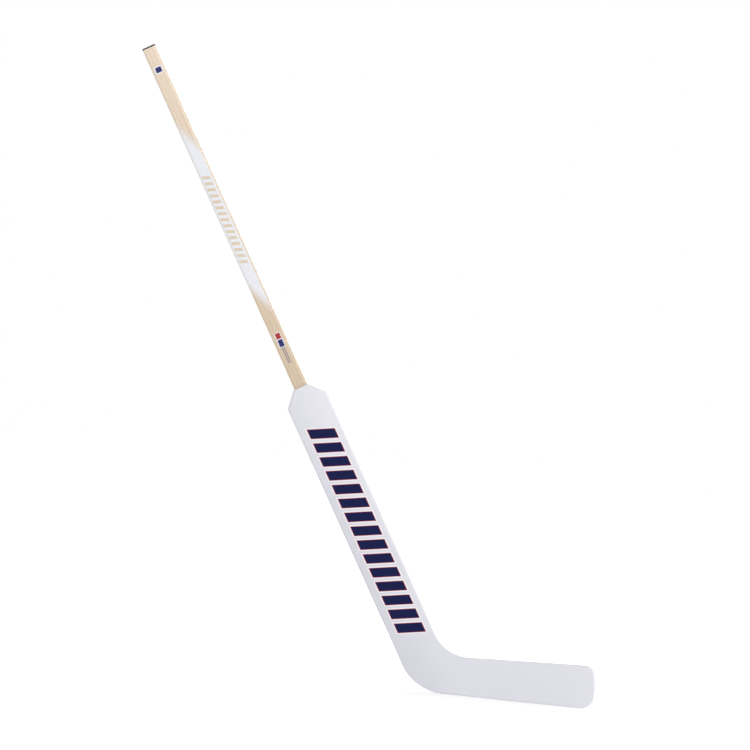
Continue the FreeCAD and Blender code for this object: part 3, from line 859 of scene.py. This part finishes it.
@dataclass
class PaintedBody:
    """Paddle and blade as one enamelled skin: leaning paddle, curved blade, sanded edges."""

    section: ShaftSection
    paddle_length: float = 686.0
    paddle_width: float = 87.0
    paddle_thickness: float = 22.0
    top_half: float = 15.5
    shoulder_drop: float = 32.0
    shoulder_radius: float = 10.0
    blade_length: float = 318.0
    heel_height: float = 76.7
    toe_height: float = 89.0
    heel_radius: float = 100.0
    throat_radius: float = 80.0
    bow_radius: float = 175.0
    bow_height: float = 32.0
    toe_sole_radius: float = 26.0
    toe_top_radius: float = 20.0
    toe_thickness: float = 14.0
    curve_start: float = 25.0
    curve_depth: float = 11.5
    skin: float = 1.0
    crown: float = 0.85
    edge_radius: float = 4.0
    edge_margin: float = 0.6
    # The shaft's opening starts this far above the foot of the rounding along the paddle's top.
    opening_lift: float = 0.35
    # Stretches in each rounding, and the distance between cuts across the faces.
    edge_steps: int = 7
    toe_steps: int = 12
    bow_steps: int = 14
    throat_steps: int = 28
    shoulder_steps: int = 6
    heel_steps: int = 32
    station: float = 8.0

    def heel(self) -> Vector:
        """Sharp corner of the heel, where paddle edge and sole would meet."""
        return Vector((-LEAN.setback - self.paddle_width / 2 / math.cos(math.radians(LEAN.angle)), 0, 0))

    def throat(self) -> Vector:
        """Sharp corner of the throat, where paddle edge and top edge would meet.

        Returns:
            The point, in millimetres.
        """
        edge = LEAN.at(self.paddle_width / 2, 0.0)
        way = LEAN.at(self.paddle_width / 2, 1.0) - edge
        slope = (self.toe_height - self.heel_height) / self.blade_length
        rise = self.heel_height + slope * (edge.x + LEAN.setback) - edge.z
        return edge + way * (rise / (way.z - slope * way.x))

    def outline(self) -> BMesh:
        """Draw the outline, from the middle of the sole to the toe and round.

        Returns:
            A flat mesh with one face.
        """
        half = self.paddle_width / 2
        foot = self.paddle_length - self.shoulder_drop
        heel, throat = self.heel(), self.throat()
        corners = [LEAN.at(half, foot), LEAN.at(self.top_half, self.paddle_length),
                   LEAN.at(-self.top_half, self.paddle_length), LEAN.at(-half, foot)]
        bow = Vector((self.blade_length - LEAN.setback - self.bow_radius, 0, self.bow_height))
        slope = math.atan2(self.toe_height - self.heel_height, self.blade_length)
        sole = Vector((0, 0, 0))
        sole_centre = self.toe_corner(bow, sole, 0.0, self.toe_sole_radius, 1)
        top_centre = self.toe_corner(bow, throat, slope, self.toe_top_radius, -1)
        line = Trace(sole)
        line.line_to(Vector((sole_centre.x, 0, 0)))
        bow_low, bow_high = (self.bearing(bow, centre) for centre in (sole_centre, top_centre))
        line.arc(sole_centre, -math.pi / 2 - bow_low, self.toe_steps)
        line.arc(bow, bow_low - bow_high, self.bow_steps)
        line.arc(top_centre, bow_high - math.pi / 2 - slope, self.toe_steps)
        line.round_corner(throat, corners[0], self.throat_radius, self.throat_steps)
        for corner, onward in zip(corners, [*corners[1:], heel]):
            line.round_corner(corner, onward, self.shoulder_radius, self.shoulder_steps)
        line.round_corner(heel, sole, self.heel_radius, self.heel_steps)
        line.line_to(sole)
        return line.sheet(self.station)

    def toe_corner(self, bow: Vector, start: Vector, slope: float, radius: float, side: int) -> Vector:
        """Centre of a toe corner's rounding, which touches a straight edge and the toe's bow.

        Args:
            bow: Centre of the toe's bow.
            start: A point of the straight edge.
            slope: Angle of that edge above level.
            radius: Rounding of the corner.
            side: 1 where the blade lies above the edge, -1 where it lies below.

        Returns:
            The centre.
        """
        way = Vector((math.cos(slope), 0, math.sin(slope)))
        base = start + Vector((-way.z, 0, way.x)) * radius * side
        reach = way.dot(bow - base)
        off = (base + way * reach - bow).length
        return base + way * (reach + math.sqrt((self.bow_radius - radius) ** 2 - off ** 2))

    @staticmethod
    def bearing(centre: Vector, point: Vector) -> float:
        """Angle above level from a centre to a point, in radians."""
        return math.atan2(point.z - centre.z, point.x - centre.x)

    def sag(self, x: float, face: Face) -> float:
        """How far the blade's curve moves a face towards the front.

        Args:
            x: Place along the blade, in millimetres.
            face: The broad face.

        Returns:
            The move, in millimetres.
        """
        run = self.blade_length - self.curve_start
        thinning = (self.paddle_thickness - self.toe_thickness) / 2
        depth = self.curve_depth + face.value * thinning
        radius = (run ** 2 + depth ** 2) / (2 * depth)
        past = max(0.0, x + LEAN.setback - self.curve_start)
        return radius - math.sqrt(radius ** 2 - past ** 2)

    def build(self) -> None:
        """Build and dress the skin."""
        mesh = self.outline()
        bmesh.ops.inset_region(mesh, faces=mesh.faces[:], thickness=self.edge_radius + self.edge_margin,
                               use_boundary=True, use_even_offset=True)
        heel = self.heel()
        across_mitre = ACROSS_FACE.cross(self.throat() - heel)
        slice_mesh(mesh, self.inner_faces(mesh), heel, across_mitre)
        along_sole = Vector((1, 0, 0))
        along_paddle = LEAN.at(0, 1) - LEAN.at(0, 0)
        across_paddle = LEAN.at(1, 0) - LEAN.at(0, 0)
        for way in (along_sole, UP):
            self.stations(mesh, heel, across_mitre, way)
        for way in (along_paddle, across_paddle):
            self.stations(mesh, heel, -across_mitre, way)
        pull(mesh, mesh.faces[:], ACROSS_FACE)
        self.shape_faces(mesh)
        bmesh.ops.recalc_face_normals(mesh, faces=mesh.faces)
        rim = [edge for edge in mesh.edges if edge.calc_face_angle(0.0) > RIM_ANGLE]
        bmesh.ops.bevel(mesh, geom=rim, offset=self.edge_radius, offset_type="OFFSET",
                        segments=self.edge_steps, profile=0.5, affect="EDGES", material=-1)
        nodes = [f"{part}_skin_{side}" for part in ("paddle", "blade") for side in ("front", "back")]
        settle("painted_paddle_and_blade", mesh, EnamelledSkin("white_enamel_on_glass_skin").material(),
               nodes, wall=self.skin, bore=self.shaft_opening())

    def shaft_opening(self) -> BMesh:
        """Shape of the opening at the paddle's top, through which the shaft comes out.

        Returns:
            A closed mesh in the stick's frame.
        """
        foot = self.paddle_length - self.edge_radius + self.opening_lift
        mesh = self.section.bar(foot, 2 * self.edge_radius)
        bmesh.ops.transform(mesh, matrix=LEAN.matrix(), verts=mesh.verts)
        return mesh

    @staticmethod
    def inner_faces(mesh: BMesh) -> list[BMFace]:
        """Faces of the flat mesh that don't touch its outline."""
        return [face for face in mesh.faces if not any(vert.is_boundary for vert in face.verts)]

    def stations(self, mesh: BMesh, corner: Vector, side: Vector, way: Vector) -> None:
        """Cut the faces on one side of the mitre at even steps, so that they can follow a curve.

        Args:
            mesh: The flat mesh.
            corner: A point of the mitre.
            side: Normal of the mitre, towards the faces to cut.
            way: Direction of the steps.
        """
        reach = [way.dot(vert.co) for vert in mesh.verts if (vert.co - corner).dot(side) > 0]
        start, stop = min(reach), max(reach)
        count = round((stop - start) / self.station)
        for step in range(1, count):
            faces = [face for face in self.inner_faces(mesh)
                     if (face.calc_center_median() - corner).dot(side) > 0]
            slice_mesh(mesh, faces, way * (start + (stop - start) * step / count), way)

    def shape_faces(self, mesh: BMesh) -> None:
        """Bend the blade, taper it to the toe, and crown both broad faces towards their middle.

        Args:
            mesh: The outline with a front at Y = 0 and a back at Y = 1.
        """
        top = self.paddle_length - self.shoulder_drop - self.shoulder_radius
        upright = LEAN.matrix().inverted()
        walls = [face for face in mesh.faces if abs(face.normal.y) < math.cos(RIM_ANGLE)
                 and (upright @ face.calc_center_median()).z < top]
        mesh.verts.index_update()
        corners = [vert.co.copy() for vert in mesh.verts]
        rim = BVHTree.FromPolygons(corners, [[vert.index for vert in face.verts] for face in walls])
        half, middle = self.paddle_thickness / 2, 0.5
        for vert in mesh.verts:
            face = Face.BACK if vert.co.y > middle else Face.FRONT
            *_, away = rim.find_nearest(vert.co)
            inward = min(1.0, away / (self.paddle_width / 2))
            thickness = half - self.crown * (1 - inward) ** 2
            vert.co.y = face.value * thickness - self.sag(vert.co.x, face)


@dataclass
class HiddenCore:
    """Foam, strips, heel block and tongue inside the skin, which keep their CAD shapes."""

    foam: tuple[str, ...] = ("paddle_foam_heel_side", "paddle_foam_throat_side", "blade_foam")
    ash: tuple[str, ...] = ("blade_tongue",)

    def build(self) -> None:
        """Dress every node that is still shown."""
        foam = RigidFoam("cut_polyurethane_foam").material()
        ash = Timber("planed_ash", pale="#dfc7a2", deep="#c9aa7d", pore="#9d7c50", rings=7.0).material()
        poplar = Timber("sawn_poplar", pale="#e0d2b0", deep="#cdbb90", pore="#b09c6c").material()
        finishes = dict.fromkeys(self.foam, foam) | dict.fromkeys(self.ash, ash)
        for name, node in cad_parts.items():
            if node.hide_render:
                continue
            finish = finishes.get(name, poplar)
            node.data.materials.clear()
            node.data.materials.append(finish)
            log.info("%s: dressed in %s", name, finish.name)


@dataclass(frozen=True)
class Softbox:
    """Square studio light that looks at the stick, in metres and watts."""

    name: str
    place: Triple
    size: float
    power: float

    def hang(self, aim: Vector) -> None:
        """Put the light up.

        Args:
            aim: Where it looks, in metres.
        """
        lamp = bpy.data.lights.new(self.name, "AREA")
        lamp.size = self.size
        lamp.energy = self.power
        light = add_object(self.name, lamp)
        light.location = self.place
        light.rotation_euler = (Vector(self.place) - aim).to_track_quat("Z", "Y").to_euler()


@dataclass
class Studio:
    """Pale floor, soft lights and the camera."""

    # Where the camera looks and from where, in metres and degrees, and how wide the picture is there.
    aim: Vector = field(default_factory=lambda: Vector((-0.3446, 0.0, 0.633)))
    azimuth: float = 3.0
    elevation: float = 0.5
    roll: float = 5.813
    distance: float = 15.0
    view_width: float = 1.5323
    sensor: float = 36.0
    far_clip: float = 100.0
    lights: tuple[Softbox, ...] = (
        Softbox("key_softbox", place=(2.0, -1.3, 2.2), size=2.6, power=44.0),
        Softbox("fill_softbox", place=(-2.6, -1.6, 1.2), size=2.6, power=10.0),
        Softbox("front_softbox", place=(-0.3, -3.0, 2.9), size=2.0, power=27.5),
        Softbox("rim_softbox", place=(2.6, 1.2, 1.2), size=1.0, power=18.0),
        Softbox("back_softbox", place=(-0.3, 3.0, 1.6), size=1.6, power=44.0),
    )
    ambient: float = 0.37
    # Matt paint gives the eye a plain pale floor. It lies half a millimetre under the sole.
    floor_white: str = "#ededed"
    floor_half: float = 20000.0
    floor_drop: float = 0.5
    # The floor glows a little under the stick and more far off, where it meets the white room. What it
    # throws back on the stick has a level of its own, so that the sole's rounding isn't left dark.
    floor_glow: Span = (0.21, 0.75)
    glow_reach: float = 3.0
    floor_bounce: float = 0.28

    def build(self) -> None:
        """Set the studio up."""
        bpy.context.scene.view_settings.view_transform = "Standard"
        self.lay_floor()
        self.light_room()
        for light in self.lights:
            light.hang(self.aim)
        self.place_camera()

    @staticmethod
    def white_to_camera(tree: NodeTree) -> Node:
        """Tell rays that see the white background, as 1, from rays that carry its light, as 0."""
        path = add_node(tree, "LightPath").outputs
        return maths(tree, "MAXIMUM", path["Is Camera Ray"], maths(
            tree, "MAXIMUM", path["Is Glossy Ray"], path["Is Transmission Ray"]))

    def lay_floor(self) -> None:
        """Lay the floor, which looks white and still takes the stick's shadow."""
        mesh = bmesh.new()
        bmesh.ops.create_grid(mesh, x_segments=1, y_segments=1, size=self.floor_half)
        bmesh.ops.translate(mesh, verts=mesh.verts, vec=UP * -self.floor_drop)
        floor = add_object("floor", mesh)
        material, tree, surface = Surface("pale_studio_floor").start()
        feed(tree, surface, {"Base Color": srgb(self.floor_white), "Roughness": 0.9})
        place = add_node(tree, "TexCoord")
        away = add_node(tree, "VectorMath", {0: place.outputs["Object"]}, operation="LENGTH")
        glow = ramp(tree, away.outputs["Value"], (0.0, self.glow_reach), self.floor_glow)
        strength = ramp(tree, self.white_to_camera(tree), levels=(self.floor_bounce, glow))
        light = add_node(tree, "Emission", {"Color": WHITE, "Strength": strength})
        both = add_node(tree, "AddShader", {0: surface, 1: light})
        feed(tree, tree.nodes["Material Output"], {"Surface": both})
        floor.data.materials.append(material)

    def light_room(self) -> None:
        """Give the room its even light and its white look."""
        world = bpy.data.worlds.new("studio")
        world.use_nodes = True
        tree = world.node_tree
        strength = ramp(tree, self.white_to_camera(tree), levels=(self.ambient, 1.0))
        feed(tree, tree.nodes["Background"], {"Color": WHITE, "Strength": strength})
        bpy.context.scene.world = world

    def place_camera(self) -> None:
        """Look at the playing face from slightly right of square, with the photograph's tilt."""
        turn, lift = math.radians(self.azimuth), math.radians(self.elevation)
        back = Vector((math.sin(turn) * math.cos(lift), -math.cos(turn) * math.cos(lift), math.sin(lift)))
        lens = bpy.data.cameras.new("camera")
        lens.sensor_width = self.sensor
        lens.lens = self.sensor * self.distance / self.view_width
        lens.clip_end = self.far_clip
        camera = add_object("camera", lens)
        level = back.to_track_quat("Z", "Y")
        tilt = Matrix.Rotation(math.radians(self.roll), 3, "Z").to_quaternion()
        camera.rotation_euler = (level @ tilt).to_euler()
        camera.location = self.aim + back * self.distance
        bpy.context.scene.camera = camera


def main() -> None:
    """Build and dress the stick, then set the studio round it."""
    logging.basicConfig(level=logging.INFO, format="%(name)s: %(message)s")
    section = ShaftSection()
    body = PaintedBody(section)
    body.build()
    shaft = LaminatedShaft(section, (body.heel(), body.throat()))
    shaft.build()
    ButtCap(section, shaft.top).build()
    HiddenCore().build()
    Studio().build()


if __name__ == "__main__":
    main()
